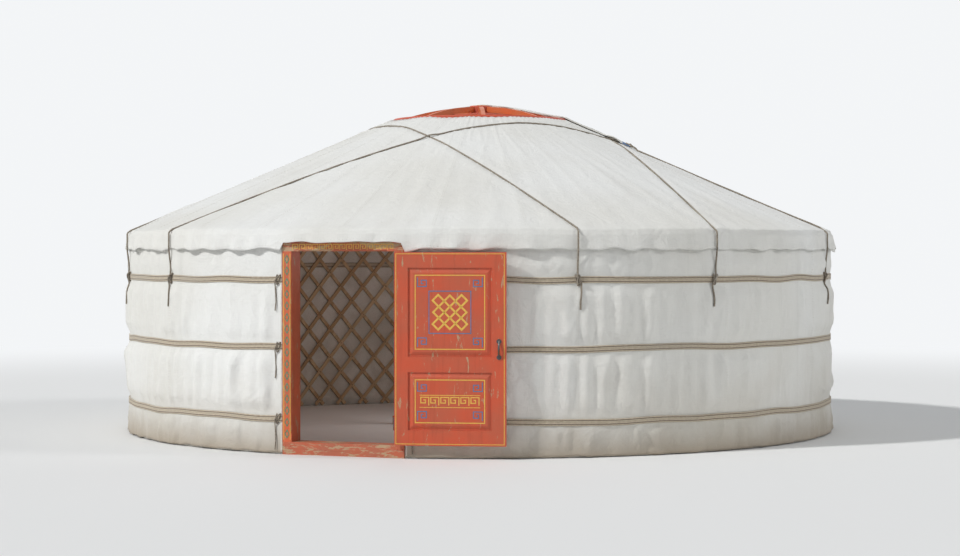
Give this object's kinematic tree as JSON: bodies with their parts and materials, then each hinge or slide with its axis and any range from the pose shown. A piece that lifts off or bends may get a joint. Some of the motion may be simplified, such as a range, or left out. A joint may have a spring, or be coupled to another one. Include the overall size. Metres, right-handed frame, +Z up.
{
  "type": "felt yurt",
  "caption": "Round white felt yurt: lattice wall, low conical roof on painted poles, crown ring with folded flap, open panelled door, tied with ropes and belts.",
  "frame": {"origin": "on the ground, at the middle of the round room", "axes": "+Z up; the doorway faces -Y; +X is on the right of someone who looks in at the door from outside"},
  "size_m": [5.7637, 5.7717, 2.6558],
  "materials": {
    "door_wood": "orange-red painted wood, satin",
    "lattice_wood": "bare willow, matt",
    "pole_paint": "orange painted wood, satin",
    "crown_paint": "red-orange painted wood, satin",
    "post_paint": "orange painted wood, satin",
    "felt": "thick pressed wool felt",
    "canvas": "white cotton canvas",
    "skirt_canvas": "white canvas, soiled near the ground",
    "belt_weave": "flat woven hair band",
    "rope": "twisted hair rope",
    "iron": "dark forged iron"
  },
  "bodies": {
    "root": {"door_sill": "door_wood", "door_jamb_left": "door_wood", "door_jamb_right": "door_wood", "door_lintel": "door_wood", "door_leaf": "door_wood", "door_hinges": "iron", "door_handle": "iron", "lattice_wall_1": "lattice_wood", "lattice_wall_2": "lattice_wood", "lattice_wall_3": "lattice_wood", "lattice_wall_4": "lattice_wood", "lattice_wall_5": "lattice_wood", "roof_poles_1": "pole_paint", "roof_poles_2": "pole_paint", "roof_poles_3": "pole_paint", "roof_poles_4": "pole_paint", "roof_poles_5": "pole_paint", "roof_poles_door": "pole_paint", "crown_rim": "crown_paint", "crown_spokes": "crown_paint", "crown_ring": "crown_paint", "crown_hub": "crown_paint", "post_left": "post_paint", "post_right": "post_paint", "post_heads": "post_paint", "wall_felt_1": "felt", "wall_felt_2": "felt", "wall_felt_3": "felt", "wall_felt_4": "felt", "roof_felt_1": "felt", "roof_felt_2": "felt", "roof_felt_3": "felt", "roof_felt_4": "felt", "wall_canvas": "canvas", "roof_canvas": "canvas", "eave_hem": "canvas", "wall_skirt": "skirt_canvas", "crown_flap": "canvas", "flap_ropes": "rope", "roof_ropes": "rope", "belt_low": "belt_weave", "belt_middle": "belt_weave", "belt_high": "belt_weave", "inner_belt": "belt_weave"}
  },
  "joints": []
}
